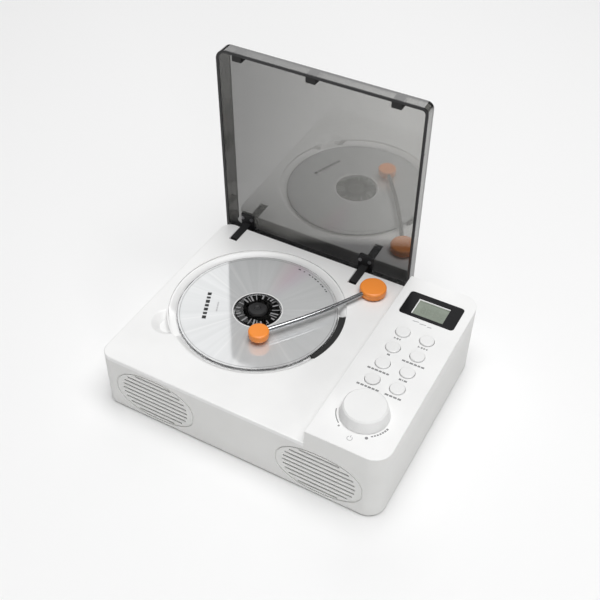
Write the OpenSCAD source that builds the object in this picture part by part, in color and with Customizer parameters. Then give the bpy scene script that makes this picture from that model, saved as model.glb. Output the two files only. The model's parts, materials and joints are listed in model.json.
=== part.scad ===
// Desktop disc player with built-in speakers, a smoked hinged lid and a swinging tonearm.
// Millimetres, +Z up, origin on the table at the middle of the object's box with the lid raised.
// Inside the modules, x, y and z are measured from the case's front left corner at table level.

/* [Case] */
// Width of the case
body_w = 220; // [210:1:240]
// Depth of the case
body_d = 170; // [168:1:176]
// Height of the deck above the table
deck_h = 49; // [48.5:0.1:49.5]
// Height of the control panel above the table
panel_h = 61.5; // [61:0.1:62]
// Width of the raised control panel
panel_w = 56; // [54:1:60]
// Wall thickness of the case
wall = 2.4; // [2:0.1:3]
// Plan radius of the left corners
corner_left_r = 9; // [6:0.5:12]
// Plan radius of the right corners
corner_right_r = 13; // [8:0.5:14]
// Gap between the case and the table
foot_gap = 1.5; // [1:0.1:2]

/* [Disc well] */
// Distance of the spindle from the case's left side
spindle_x = 74; // [72:0.5:78]
// Distance of the spindle from the case's front
spindle_y = 94.5; // [92:0.5:96]
// Radius of the disc
disc_r = 60; // [60:60]
// Radius of the well around the disc
well_r = 66; // [65:0.5:68]
// Depth of the well below the deck
well_depth = 5.2; // [5:0.1:6]
// Height of the disc's label side below the deck
disc_drop = 2.6; // [2.4:0.1:3]
// Radius of the turntable under the disc
turntable_r = 16.5; // [15:0.5:17]

/* [Speaker grilles] */
// Half width of the oval grille
grille_a = 32.7; // [28:0.1:33]
// Half height of the oval grille
grille_b = 20.3; // [18:0.1:20.5]
// Squareness of the oval, where 2 is an ellipse
grille_power = 2.3; // [2:0.1:3]
// Distance from each end of the case to its grille's centre
grille_inset = 45; // [44:0.5:48]
// Number of louvre slots in a grille
slot_count = 9; // [5:2:9]
// Spacing of the louvre slots
slot_pitch = 4.2; // [4:0.1:4.3]
// Height of a louvre slot
slot_h = 1.7; // [1.2:0.1:2.2]

/* [Lid] */
// Opening angle of the lid at rest
lid_angle = 88.5; // [80:0.5:90]
// Depth of the lid's rim
lid_depth = 9.7; // [9.5:0.1:11]
// Wall thickness of the lid
lid_wall = 2; // [1.8:0.1:2.2]
// Width of a hinge leg
leg_w = 6; // [5:0.5:6]

/* [Tonearm] */
// Distance of the tonearm's pivot from the case's left side
arm_x = 142; // [140:0.5:144]
// Distance of the tonearm's pivot from the case's front
arm_y = 150.5; // [148:0.5:152]
// Reach from the pivot to the middle of the head
arm_reach = 97; // [90:0.5:98]
// Direction of the arm over the disc, counted from +X
arm_angle = 237.8; // [236:0.1:240]
// Radius of the pivot cap
cap_r = 10.2; // [8:0.1:10.5]
// Radius of the head
head_r = 7.6; // [6:0.1:8]
// Radius of the arm's tube
tube_r = 1.7; // [1.4:0.1:1.9]

/* [Controls] */
// Radius of a push button
key_r = 5.2; // [4:0.1:5.5]
// How far a button goes down
key_travel = 1; // [0.6:0.1:1]
// Radius of the volume knob at its foot
knob_r = 16.8; // [14:0.1:17]
// Height of the volume knob above the panel
knob_h = 9; // [7:0.5:11]

/* [Hidden] */
$fn = 96;
eps = 0.01;
gap = 0.3;

// Levels
seam_z = deck_h - 3.3;
panel_seam_z = panel_h - 3;
cover_t = 2.4;
cover_top = foot_gap + cover_t;
panel_x = body_w - panel_w;
well_floor_z = deck_h - well_depth;
floor_t = 2;
floor_under_z = well_floor_z - floor_t;
disc_t = 1.2;
disc_top_z = deck_h - disc_drop;
disc_under_z = disc_top_z - disc_t;
spindle_at = [spindle_x, spindle_y];
notch_r = 13;
notch_angle = 222;
notch = spindle_at + well_r * [cos(notch_angle), sin(notch_angle)];

// Lid hinge, and the closed lid's box
hinge_z = deck_h - 6;
hinge_y = body_d - 5.5;
hinge_pin_r = 1.5;
run_gap = 0.05;
pin_fit = 0.01;
lid_under_z = deck_h + gap;
lid_top_z = lid_under_z + lid_depth;
lid_front_y = 1.2;
lid_rear_y = body_d + 0.6 + lid_wall;
lid_w = panel_x - 1.5;
lid_relief_r = norm([body_d - hinge_y, deck_h - hinge_z]) + 0.35;
leg_x = [16.4, 122.8];
leg_tail_z = deck_h - 15;
slot_front_y = hinge_y - 11.4;

// Total depth with the lid raised, which centres the object on its origin
depth_all = hinge_y + (lid_rear_y - hinge_y) * cos(lid_angle) + (lid_top_z - hinge_z) * sin(lid_angle);

// Tonearm levels, and the wide arc that its tube follows
arm_z = deck_h + 4.4;
cap_z = [deck_h + 1.2, deck_h + 7.2];
head_z = [deck_h + 0.4, deck_h + 7.1];
arm_bend_r = 420;
arm_tuck = 5;
arm_chord = arm_reach - 2 * arm_tuck;
arm_sweep = 2 * asin(arm_chord / 2 / arm_bend_r);

// Control panel places, from the case's front left corner
key_x = [panel_x + 18.7, panel_x + 37];
key_y = [112, 95, 78, 61.5];
knob_x = panel_x + 27.3;
knob_y = 31.5;
bezel = [42, 25, 1.2];
bezel_x = panel_x + 7;
bezel_y = 130;
window = [24.5, 17];
window_x = panel_x + 15.5;
window_y = 133;
board_z = panel_h - 10;
board_t = 1.6;
board_top = board_z + board_t;
post_at = [[panel_x + 8, 122], [panel_x + 48, 122], [panel_x + 8, 50], [panel_x + 48, 50]];

// Speakers
speaker_x = [grille_inset, body_w - grille_inset];
speaker_z = 23.4;
speaker_flange = 38;
speaker_y = 5;
speaker_screw_off = 16.2;

// Bottom cover
boss_at = [[8, 34], [212, 34], [8, 142], [212, 142]];
foot_at = [[16, 16], [204, 16], [16, 154], [204, 154]];
foot_r = 6;
cover_post_at = [[66, 116], [144, 116], [66, 152], [144, 152]];

// Drive under the disc
chassis_z = 30;
chassis_t = 1.5;
chassis_top = chassis_z + chassis_t;
chassis_x = [5, 106];
chassis_y = [58, 126];
damper_at = [[24, 120], [100, 120], [24, 64], [100, 64]];
rail_y = [spindle_y - 15.5, spindle_y + 15.5];
rail_z = 36;
rail_r = 1.5;
lens_x = spindle_x - 24;
sled_travel = 31;
sled_half = 9;
pitch_r = 6;
pinion_teeth = 12;
tooth_pitch = 2 * PI * pitch_r / pinion_teeth;
rack_pitch_y = spindle_y - 21.6;
pinion_x = 40;
pinion_y = rack_pitch_y - pitch_r;
gear_z = [33, 36.4];

// Rear sockets on the main board
main_board_z = 8;
main_board_top = main_board_z + 1.6;
aux_x = 96;
usb_x = 78;
slide_x = 122;
aux_bore_r = 1.8;

module place() { translate([-body_w / 2, -depth_all / 2, 0]) children(); }

// Turns the closed lid's parts up about the hinge
module raised() {
    translate([0, hinge_y, hinge_z]) rotate([-lid_angle, 0, 0])
        translate([0, -hinge_y, -hinge_z]) children();
}

module slab(z0, z1) { translate([0, 0, z0]) linear_extrude(z1 - z0) children(); }

// Extrudes an outline drawn in x and z from y0 to y1
module along_y(y0, y1) { translate([0, y1, 0]) rotate([90, 0, 0]) linear_extrude(y1 - y0) children(); }

// Extrudes an outline drawn in y and z from x0 to x1
module along_x(x0, x1) { translate([x0, 0, 0]) rotate([90, 0, 90]) linear_extrude(x1 - x0) children(); }

module post(at, r, z0, z1) { translate([at[0], at[1], z0]) cylinder(r = r, h = z1 - z0); }

module box(lo, hi) { translate(lo) cube(hi - lo); }

// A rectangle from lo to hi, with a radius for each corner from the front left one round to the right
module round_rect(lo, hi, r) {
    polygon([[lo[0] + r[0], lo[1]], [hi[0] - r[1], lo[1]], [hi[0], lo[1] + r[1]], [hi[0], hi[1] - r[2]],
        [hi[0] - r[2], hi[1]], [lo[0] + r[3], hi[1]], [lo[0], hi[1] - r[3]], [lo[0], lo[1] + r[0]]]);
    translate([lo[0] + r[0], lo[1] + r[0]]) circle(r[0]);
    translate([hi[0] - r[1], lo[1] + r[1]]) circle(r[1]);
    translate([hi[0] - r[2], hi[1] - r[2]]) circle(r[2]);
    translate([lo[0] + r[3], hi[1] - r[3]]) circle(r[3]);
}

// The case's outline, moved inward by inset
module case_outline(inset = 0) {
    left = corner_left_r - inset;
    right = corner_right_r - inset;
    round_rect([inset, inset], [body_w - inset, body_d - inset], [left, right, right, left]);
}

// The control panel's outline, moved inward by inset
module panel_outline(inset) {
    intersection() {
        case_outline(inset);
        translate([panel_x + inset, 0]) square([panel_w, body_d]);
    }
}

function oval_half(a, b, z) = a * pow(1 - pow(abs(z) / b, grille_power), 1 / grille_power);
function oval(a, b, steps = 56) = [for (i = [0:steps - 1])
    let (t = 360 * (i + 0.5) / steps, c = cos(t), s = sin(t))
        [a * sign(c) * pow(abs(c), 2 / grille_power), b * sign(s) * pow(abs(s), 2 / grille_power)]];

// A slot with round ends, centred, length along x
module stadium(length, height) {
    square([length - height, height], center = true);
    for (side = [-1, 1]) translate([side * (length - height) / 2, 0]) circle(height / 2);
}

module grille_cut(x) {
    groove_w = 1.1;
    along_y(-eps, 0.7) translate([x, speaker_z]) difference() {
        polygon(oval(grille_a, grille_b));
        polygon(oval(grille_a - groove_w, grille_b - groove_w));
    }
    last = (slot_count - 1) / 2;
    for (i = [-last:last])
        along_y(-1, wall + 1) translate([x, speaker_z + i * slot_pitch])
            stadium(2 * oval_half(grille_a - 5.5, grille_b - 1.2, i * slot_pitch), slot_h);
}

// Repeats a shape drawn in x and z at the four screws of each speaker
module at_speaker_screws() {
    for (x = speaker_x, dx = [-1, 1], dz = [-1, 1])
        translate([x + dx * speaker_screw_off, speaker_z + dz * speaker_screw_off]) children();
}

module lower_case() {
    color([0.86, 0.86, 0.85]) place() difference() {
        union() {
            slab(foot_gap, seam_z) difference() { case_outline(); case_outline(wall); }
            for (at = boss_at) {
                post(at, 3.6, cover_top, 30);
                side = at[0] < body_w / 2 ? 1 : body_w - 9;
                box([side, at[1] - 1.2, cover_top], [side + 8, at[1] + 1.2, 30]);
            }
            along_y(wall - eps, speaker_y) at_speaker_screws() circle(2.6);
        }
        for (x = speaker_x) grille_cut(x);
        along_y(wall, speaker_y + 1) at_speaker_screws() circle(1.1);
        for (at = boss_at) post(at, 1.45, cover_top - 1, 18);
        for (x = leg_x) box([x - leg_w / 2 - gap, body_d - wall - 1, hinge_z - 6.6],
            [x + leg_w / 2 + gap, body_d + 1, seam_z + 1]);
        along_y(body_d - wall - 1, body_d + 1) {
            translate([usb_x, main_board_top + 1.8]) stadium(10, 4);
            translate([aux_x, main_board_top + 3.6]) circle(3.4);
            translate([slide_x, main_board_top + 2.6]) square([9, 4.2], center = true);
        }
    }
}

module bottom_cover() {
    color([0.82, 0.82, 0.81]) place() difference() {
        union() {
            slab(foot_gap, cover_top) case_outline(wall + 0.2);
            for (at = cover_post_at) post(at, 3, cover_top - eps, main_board_z);
        }
        for (at = foot_at) post(at, foot_r + 0.1, foot_gap - 1, foot_gap + 0.8);
        for (at = boss_at) {
            post(at, 1.6, foot_gap - 1, cover_top + 1);
            post(at, 3.2, foot_gap - 1, foot_gap + 1.2);
        }
        for (at = cover_post_at) post(at, 1.05, cover_top, main_board_z + 1);
        for (i = [-4:4]) slab(foot_gap - 1, cover_top + 1)
            translate([body_w / 2 + 8 * i, 60]) rotate(90) stadium(30, 2.4);
    }
}

module feet() {
    color([0.2, 0.2, 0.2]) place() for (at = foot_at) post(at, foot_r, 0, foot_gap + 0.8);
}

module cover_screws() {
    color([0.6, 0.6, 0.62]) place() for (at = boss_at) {
        difference() {
            post(at, 3, foot_gap, foot_gap + 1.2);
            translate([at[0], at[1], foot_gap - 1]) cylinder(r = 1.3, h = 1.7, $fn = 6);
        }
        post(at, 1.4, foot_gap + 1.2 - eps, 14);
    }
}

// The pocket under a hinge slot, with the bearing walls for the pin
module hinge_pocket(x) {
    half = leg_w / 2 + gap + 2;
    box([x - half, slot_front_y - 2, leg_tail_z - 3], [x + half, body_d - wall - 0.2, seam_z]);
}

module finger_notch() {
    translate([notch[0], notch[1], well_floor_z + 0.3])
        cylinder(r1 = notch_r - 6, r2 = notch_r, h = well_depth - 0.2);
}

module top_deck() {
    color([0.95, 0.95, 0.94]) place() difference() {
        union() {
            slab(seam_z, deck_h) intersection() { case_outline(); square([panel_x - 0.2, body_d]); }
            for (x = leg_x) hinge_pocket(x);
            post([arm_x, arm_y], 7, deck_h - 10, seam_z + eps);
        }
        post(spindle_at, well_r, seam_z - 1, deck_h + 1);
        finger_notch();
        for (x = leg_x) {
            box([x - leg_w / 2 - gap, slot_front_y, leg_tail_z - 1],
                [x + leg_w / 2 + gap, body_d + 1, deck_h + 1]);
            along_x(x - leg_w, x + leg_w) translate([hinge_y, hinge_z]) circle(hinge_pin_r + pin_fit);
        }
        post([arm_x, arm_y], 5, deck_h - 11, deck_h + 1);
        post([arm_x, arm_y], 7.1, deck_h - 0.8, deck_h + 1);
    }
}

// The pan under the deck that holds the disc, with the opening for the turntable and the lens
module disc_well() {
    lens_slot = spindle_x - lens_x + sled_travel + 6;
    color([0.95, 0.95, 0.94]) place() difference() {
        union() {
            post(spindle_at, well_r + 2, floor_under_z, seam_z);
            post(notch, notch_r + 1.5, floor_under_z, seam_z);
            for (at = damper_at) post(at, 2.6, 35, floor_under_z + eps);
        }
        post(spindle_at, well_r, well_floor_z, deck_h);
        post(spindle_at, turntable_r + 1, floor_under_z - 1, well_floor_z + 1);
        finger_notch();
        slab(floor_under_z - 1, well_floor_z + 1)
            translate([spindle_x - lens_slot / 2, spindle_y]) square([lens_slot, 12], center = true);
        for (at = damper_at) post(at, 1.5, 34, 40);
    }
}

// The pad beside the disc, which the arm's head rests against
module arc_pad() {
    half_angle = 21.5;
    pad_h = 3.4;
    color([0.05, 0.05, 0.05]) place() translate([spindle_x, spindle_y, well_floor_z])
        rotate(-half_angle) rotate_extrude(angle = 2 * half_angle)
            translate([disc_r + 0.8, 0]) square([well_r - disc_r - 1.1, pad_h]);
}

module panel_cover() {
    color([0.95, 0.95, 0.94]) place() difference() {
        union() {
            slab(panel_seam_z, panel_h) panel_outline(0);
            slab(seam_z, panel_seam_z) difference() {
                panel_outline(0);
                panel_outline(wall);
            }
            for (at = post_at) post(at, 2.5, board_top, panel_seam_z + eps);
        }
        for (x = key_x, y = key_y) post([x, y], key_r + 0.3, panel_seam_z - 1, panel_h + 1);
        post([knob_x, knob_y], 4, panel_seam_z - 1, panel_h + 1);
        slab(panel_h - 1, panel_h + 1) translate([bezel_x, bezel_y])
            round_rect([-0.1, -0.1], [bezel[0] + 0.1, bezel[1] + 0.1], [2.6, 2.6, 2.6, 2.6]);
        box([window_x - 1.4, window_y - 1.4, panel_seam_z - 1],
            [window_x + window[0] + 1.4, window_y + window[1] + 1.4, panel_h]);
        for (at = post_at) post(at, 1.05, board_top - 1, panel_seam_z);
    }
}

module lcd_bezel() {
    color([0.06, 0.06, 0.06]) place() difference() {
        slab(panel_h - 1, panel_h - 1 + bezel[2]) translate([bezel_x, bezel_y])
            round_rect([0, 0], [bezel[0], bezel[1]], [2.5, 2.5, 2.5, 2.5]);
        box([window_x, window_y, panel_h - 2], [window_x + window[0], window_y + window[1], panel_h + 1]);
    }
}

module lcd_glass() {
    color([0.55, 0.6, 0.52]) place() box([window_x - 1.2, window_y - 1.2, panel_h - 2.4],
        [window_x + window[0] + 1.2, window_y + window[1] + 1.2, panel_h - 1.1]);
}

module lcd_module() {
    color([0.8, 0.8, 0.78]) place() box([window_x - 1.2, window_y - 1.2, board_top + 0.2],
        [window_x + window[0] + 1.2, window_y + window[1] + 1.2, panel_h - 2.5]);
}

module panel_board() {
    color([0.1, 0.35, 0.2]) place() difference() {
        box([panel_x + 4, 16, board_z], [panel_x + 52, 156, board_top]);
        for (at = post_at) post(at, 1.2, board_z - 1, board_top + 1);
    }
}

module key_switches() {
    color([0.15, 0.15, 0.15]) place() for (x = key_x, y = key_y) difference() {
        box([x - 3, y - 3, board_top], [x + 3, y + 3, board_top + 3.1]);
        post([x, y], 1.95, board_top + 0.4, board_top + 4);
    }
}

module board_screws() {
    color([0.6, 0.6, 0.62]) place() {
        for (at = post_at) {
            post(at, 2, board_z - 1.2, board_z);
            post(at, 1, board_z - eps, board_top + 4);
        }
        for (at = cover_post_at) {
            post(at, 2, main_board_top, main_board_top + 1.2);
            post(at, 1, cover_top + 0.5, main_board_top + eps);
        }
    }
}

module encoder() {
    color([0.45, 0.46, 0.48]) place() difference() {
        union() {
            box([knob_x - 6, knob_y - 6, board_top], [knob_x + 6, knob_y + 6, board_top + 4.4]);
            post([knob_x, knob_y], 3.6, board_top + 4, panel_h + 2.2);
        }
        post([knob_x, knob_y], 3 + run_gap, board_top + 1, panel_h + 3);
    }
}

// A push button: its cap, the flange that keeps it in, and the stem that works the switch
module key(i) {
    at = [key_x[i % 2], key_y[floor(i / 2)]];
    color([0.96, 0.96, 0.95]) place() {
        post(at, key_r, panel_seam_z - 0.2, panel_h + 1);
        post(at, key_r + 1, panel_seam_z - 1, panel_seam_z - 0.2);
        post(at, 1.75, board_top + 0.8 + key_travel, panel_seam_z - 1 + eps);
    }
}

module knob() {
    top_r = knob_r - 2.2;
    foot_z = panel_h + 0.4;
    top_z = panel_h + knob_h;
    hub_z = panel_h + 2.6;
    color([0.96, 0.96, 0.95]) place() translate([knob_x, knob_y, 0]) rotate_extrude()
        polygon([[0, panel_h + 7.4], [3, panel_h + 7.4], [3, hub_z], [5.5, hub_z], [5.5, top_z - 2.5],
            [top_r - 1.8, top_z - 2.5], [knob_r - 1.8, foot_z], [knob_r, foot_z], [top_r + 0.3, top_z - 1],
            [top_r - 0.8, top_z], [0, top_z]]);
}

module knob_shaft() {
    color([0.7, 0.7, 0.72]) place() post([knob_x, knob_y], 3, board_top + 1.3, panel_h + 7.4);
}

module grille_cloth(x) {
    color([0.12, 0.12, 0.12]) place() along_y(wall, wall + 0.5) difference() {
        translate([x, speaker_z]) polygon(oval(grille_a - 3, grille_b - 1, 40));
        for (dx = [-1, 1], dz = [-1, 1])
            translate([x + dx * speaker_screw_off, speaker_z + dz * speaker_screw_off]) circle(2.8);
    }
}

module grille_cloth_left() { grille_cloth(speaker_x[0]); }
module grille_cloth_right() { grille_cloth(speaker_x[1]); }

// Turns an outline drawn as radius and depth about a speaker's axis, depth running backwards
module speaker_turn(x) {
    translate([x, speaker_y, speaker_z]) rotate([-90, 0, 0]) rotate_extrude() children();
}

module speaker_frame(x) {
    half = speaker_flange / 2;
    color([0.2, 0.2, 0.22]) place() {
        along_y(speaker_y, speaker_y + 1.6) translate([x, speaker_z]) difference() {
            square(speaker_flange, center = true);
            circle(17);
            for (dx = [-1, 1], dz = [-1, 1])
                translate([dx * speaker_screw_off, dz * speaker_screw_off]) circle(1.3);
        }
        speaker_turn(x) polygon([[17, 1.6 - eps], [18.2, 1.6 - eps], [18.2, 3], [12.2, 13], [6.5, 13],
            [6.5, 11.8], [11.4, 11.8], [17, 2.6]]);
    }
}

module speaker_frame_left() { speaker_frame(speaker_x[0]); }
module speaker_frame_right() { speaker_frame(speaker_x[1]); }

module speaker_cone(x) {
    color([0.3, 0.3, 0.3]) place() speaker_turn(x)
        polygon([[0, 4.6], [2.5, 4.9], [5, 6], [6, 7.4], [13.6, 1.6], [14.4, 0.9], [15.6, 0.6], [16.9, 0.9],
            [16.9, 1.3], [15.6, 1.1], [14.7, 1.4], [14, 2], [6, 8.4], [6, 11.4], [5.4, 11.4], [5.4, 7.6],
            [4.6, 6.4], [2.4, 5.4], [0, 5.1]]);
}

module speaker_cone_left() { speaker_cone(speaker_x[0]); }
module speaker_cone_right() { speaker_cone(speaker_x[1]); }

module speaker_magnet(x) {
    color([0.25, 0.25, 0.27]) place() speaker_turn(x)
        polygon([[0, 10], [5, 10], [5, 19], [6.4, 19], [6.4, 13], [12, 13], [12, 21], [0, 21]]);
}

module speaker_magnet_left() { speaker_magnet(speaker_x[0]); }
module speaker_magnet_right() { speaker_magnet(speaker_x[1]); }

module speaker_screws() {
    color([0.6, 0.6, 0.62]) place() for (x = speaker_x, dx = [-1, 1], dz = [-1, 1])
        translate([x + dx * speaker_screw_off, 0, speaker_z + dz * speaker_screw_off]) {
            along_y(speaker_y + 1.6, speaker_y + 2.8) circle(2.2);
            along_y(wall + 0.4, speaker_y + 1.6 + eps) circle(1);
        }
}

module lid_shell() {
    corner = [8, 5, 5, 8];
    inner = [for (r = corner) r - lid_wall];
    color([0.25, 0.25, 0.25, 0.6]) place() raised() difference() {
        slab(lid_under_z, lid_top_z) round_rect([0.2, lid_front_y], [lid_w, lid_rear_y], corner);
        slab(lid_under_z - 1, lid_top_z - lid_wall) round_rect([0.2 + lid_wall, lid_front_y + lid_wall],
            [lid_w - lid_wall, lid_rear_y - lid_wall], inner);
        along_x(-1, lid_w + 1) translate([hinge_y, hinge_z]) circle(lid_relief_r);
    }
}

// A hinge leg: a foot under the lid, a bar down to the pin, and a tail that fills the slot of a raised lid
module hinge_leg(x) {
    inner_z = lid_top_z - lid_wall;
    color([0.07, 0.07, 0.07]) place() raised() difference() {
        union() {
            along_x(x - leg_w / 2, x + leg_w / 2) {
                translate([hinge_y - 5.8, hinge_z]) square([7.8, inner_z - hinge_z]);
                translate([hinge_y, hinge_z]) circle(5.6);
                translate([hinge_y - 5.8, leg_tail_z]) square([3.6, hinge_z - leg_tail_z]);
            }
            box([x - 5.6, hinge_y - 14, inner_z - 2], [x + 5.6, hinge_y + 3, inner_z]);
        }
        along_x(x - leg_w, x + leg_w) translate([hinge_y, hinge_z]) circle(hinge_pin_r + run_gap);
        for (dx = [-4, 4]) post([x + dx, hinge_y - 10.6], 0.9, inner_z - 3, inner_z + 1);
    }
}

module hinge_leg_left() { hinge_leg(leg_x[0]); }
module hinge_leg_right() { hinge_leg(leg_x[1]); }

module leg_screws() {
    inner_z = lid_top_z - lid_wall;
    color([0.3, 0.3, 0.3]) place() raised() for (x = leg_x, dx = [-4, 4]) {
        post([x + dx, hinge_y - 10.6], 1.5, inner_z - 2.8, inner_z - 2);
        post([x + dx, hinge_y - 10.6], 0.85, inner_z - 2 - eps, inner_z - 0.02);
    }
}

module lid_bumpers() {
    width = 7.4;
    bumper_x = [17.5, 76, 140];
    inner_y = lid_front_y + lid_wall;
    inner_z = lid_top_z - lid_wall;
    color([0.05, 0.05, 0.05]) place() raised() for (x = bumper_x)
        box([x - width / 2, inner_y, lid_under_z - 0.2], [x + width / 2, inner_y + 4.2, inner_z]);
}

module hinge_pins() {
    half = leg_w / 2 + gap + 1.8;
    color([0.75, 0.75, 0.77]) place() for (x = leg_x)
        along_x(x - half, x + half) translate([hinge_y, hinge_z]) circle(hinge_pin_r);
}

module arm_bush() {
    color([0.9, 0.9, 0.9]) place() difference() {
        union() {
            post([arm_x, arm_y], 4.95, deck_h - 10, deck_h - 0.7);
            post([arm_x, arm_y], 7, deck_h - 0.8, deck_h + 0.2);
        }
        post([arm_x, arm_y], 3 + run_gap, deck_h - 11, deck_h + 1);
    }
}

module arm_shaft() {
    color([0.75, 0.75, 0.77]) place() {
        post([arm_x, arm_y], 3, deck_h - 12, cap_z[0]);
        post([arm_x, arm_y], 4.4, deck_h - 13.2, deck_h - 12);
    }
}

module arm_cap() {
    edge = 1.2;
    color([0.97, 0.52, 0.17]) place() difference() {
        translate([arm_x, arm_y, 0]) rotate_extrude() polygon([[0, cap_z[0]], [cap_r - 0.5, cap_z[0]],
            [cap_r, cap_z[0] + 0.5], [cap_r, cap_z[1] - edge],
            [cap_r - 0.35 * edge, cap_z[1] - 0.35 * edge], [cap_r - edge, cap_z[1]], [0, cap_z[1]]]);
        arm_bore();
    }
}

// The arm's tube follows a wide arc from inside the cap to inside the head
module arm_arc(r) {
    middle = arm_bend_r * cos(arm_sweep / 2);
    translate([arm_x, arm_y, arm_z]) rotate(arm_angle) translate([arm_reach / 2, -middle, 0])
        rotate(90 - arm_sweep / 2) rotate_extrude(angle = arm_sweep)
            translate([arm_bend_r, 0]) circle(r, $fn = 32);
}

module arm_bore() { arm_arc(tube_r + pin_fit); }

module arm_tube() { color([0.75, 0.76, 0.78]) place() arm_arc(tube_r); }

module arm_head() {
    edge = 1;
    color([0.97, 0.52, 0.17]) place() difference() {
        translate([arm_x + arm_reach * cos(arm_angle), arm_y + arm_reach * sin(arm_angle), 0])
            rotate_extrude() polygon([[0, head_z[0]], [head_r - 1.2, head_z[0]],
                [head_r - 0.3, head_z[0] + 0.9], [head_r, head_z[0] + 2.4], [head_r, head_z[1] - edge],
                [head_r - 0.35 * edge, head_z[1] - 0.35 * edge], [head_r - edge, head_z[1]],
                [0, head_z[1]]]);
        arm_bore();
    }
}

module drive_chassis() {
    color([0.2, 0.2, 0.22]) place() {
        difference() {
            slab(chassis_z, chassis_top)
                round_rect([chassis_x[0], chassis_y[0]], [chassis_x[1], chassis_y[1]], [3, 3, 3, 3]);
            for (at = damper_at) post(at, 1.7, chassis_z - 1, chassis_top + 1);
            post([pinion_x, pinion_y], 1.2, chassis_z - 1, chassis_top + 1);
            box([14, spindle_y - 7, chassis_z - 1], [56, spindle_y + 7, chassis_top + 1]);
        }
        for (x = [6, 62.6], y = rail_y) difference() {
            box([x, y - 2.4, chassis_top - eps], [x + 3, y + 2.4, rail_z + 2.6]);
            along_x(x - 1, x + 4) translate([y, rail_z]) circle(rail_r + pin_fit);
        }
    }
}

module dampers() {
    color([0.1, 0.1, 0.1]) place() for (at = damper_at) difference() {
        post(at, 4, chassis_top, 35);
        post(at, 1.7, chassis_z, 36);
    }
}

module chassis_screws() {
    color([0.6, 0.6, 0.62]) place() for (at = damper_at) {
        post(at, 3, chassis_z - 1.4, chassis_z);
        post(at, 1.45, chassis_z - eps, 39.5);
    }
}

module spindle_motor() {
    color([0.6, 0.61, 0.63]) place() difference() {
        post(spindle_at, 11.8, chassis_top, chassis_top + 6.8);
        post(spindle_at, 1 + run_gap, chassis_top + 1, chassis_top + 8);
    }
}

module spindle() {
    color([0.75, 0.75, 0.77]) place() post(spindle_at, 1, chassis_top + 1.3, disc_under_z);
}

module turntable() {
    color([0.08, 0.08, 0.08]) place() difference() {
        union() {
            post(spindle_at, turntable_r, disc_under_z - 3, disc_under_z);
            translate(spindle_at) rotate_extrude() polygon([[0, disc_under_z - eps],
                [7.35, disc_under_z - eps], [7.35, disc_top_z + 0.2], [6.4, disc_top_z + 1.6],
                [3, disc_top_z + 2], [2.2, disc_top_z + 1.4], [0, disc_top_z + 1.4]]);
        }
        post(spindle_at, 1, disc_under_z - 4, disc_under_z);
    }
}

module disc() {
    color([0.8, 0.8, 0.82]) place() difference() {
        post(spindle_at, disc_r, disc_under_z, disc_top_z);
        post(spindle_at, 7.5, disc_under_z - 1, disc_top_z + 1);
    }
}

module guide_rails() {
    color([0.78, 0.78, 0.8]) place() for (y = rail_y)
        along_x(6, 65.6) translate([y, rail_z]) circle(rail_r);
}

module pickup_sled() {
    lug = 3;
    rack_x = [pinion_x - 3.6, pinion_x + sled_travel + 3.6];
    last_tooth = floor((rack_x[1] - 0.9 - pinion_x) / tooth_pitch - 0.5);
    root_y = rack_pitch_y + 1;
    color([0.3, 0.3, 0.33]) place() difference() {
        union() {
            box([lens_x - sled_half, rail_y[0] - lug, rail_z - 3],
                [lens_x + sled_half, rail_y[1] + lug, rail_z + 3]);
            box([rack_x[0], root_y, gear_z[0]], [rack_x[1], root_y + 2, gear_z[1]]);
            box([lens_x - sled_half, root_y + 1, gear_z[0]],
                [lens_x + sled_half, rail_y[0] - lug + 1, gear_z[1]]);
            for (i = [-1:last_tooth])
                translate([pinion_x + (i + 0.5) * tooth_pitch, 0, 0]) rack_tooth(root_y);
        }
        for (y = rail_y) along_x(lens_x - sled_half - 1, lens_x + sled_half + 1) translate([y, rail_z])
            circle(rail_r + run_gap);
        post([lens_x, spindle_y], 4.1, rail_z, rail_z + 4);
    }
}

module rack_tooth(root_y) {
    slab(gear_z[0], gear_z[1])
        polygon([[-0.85, root_y + eps], [0.85, root_y + eps], [0.35, root_y - 1.7], [-0.35, root_y - 1.7]]);
}

module pickup_lens() {
    color([0.35, 0.4, 0.6]) place() {
        post([lens_x, spindle_y], 4, rail_z, floor_under_z + 0.6);
        translate([lens_x, spindle_y, floor_under_z + 0.6 - eps]) intersection() {
            cylinder(r = 2.5, h = 2);
            translate([0, 0, -4.2]) sphere(5.2);
        }
    }
}

module feed_motor() {
    color([0.6, 0.61, 0.63]) place() difference() {
        post([pinion_x, pinion_y], 7.5, chassis_z - 10, chassis_z);
        post([pinion_x, pinion_y], 0.75 + run_gap, chassis_z - 6, chassis_z + 1);
    }
}

module feed_pinion() {
    color([0.85, 0.85, 0.8]) place() translate([pinion_x, pinion_y, 0]) {
        slab(gear_z[0], gear_z[1]) {
            circle(pitch_r - 1.2);
            for (i = [0:pinion_teeth - 1]) rotate(90 + i * 360 / pinion_teeth)
                polygon([[pitch_r - 1.5, -0.8], [pitch_r + 0.75, -0.35], [pitch_r + 0.75, 0.35],
                    [pitch_r - 1.5, 0.8]]);
        }
        slab(chassis_z - 5.7, gear_z[0] + eps) circle(0.75);
    }
}

module main_board() {
    color([0.1, 0.35, 0.2]) place() {
        difference() {
            box([60, 112, main_board_z], [150, 156, main_board_top]);
            for (at = cover_post_at) post(at, 1.2, main_board_z - 1, main_board_top + 1);
        }
        box([92, 122, main_board_top - eps], [104, 134, main_board_top + 1.4]);
        box([112, 118, main_board_top - eps], [120, 126, main_board_top + 1.2]);
        for (x = [74, 82]) post([x, 126], 3, main_board_top - eps, main_board_top + 7);
    }
}

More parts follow.
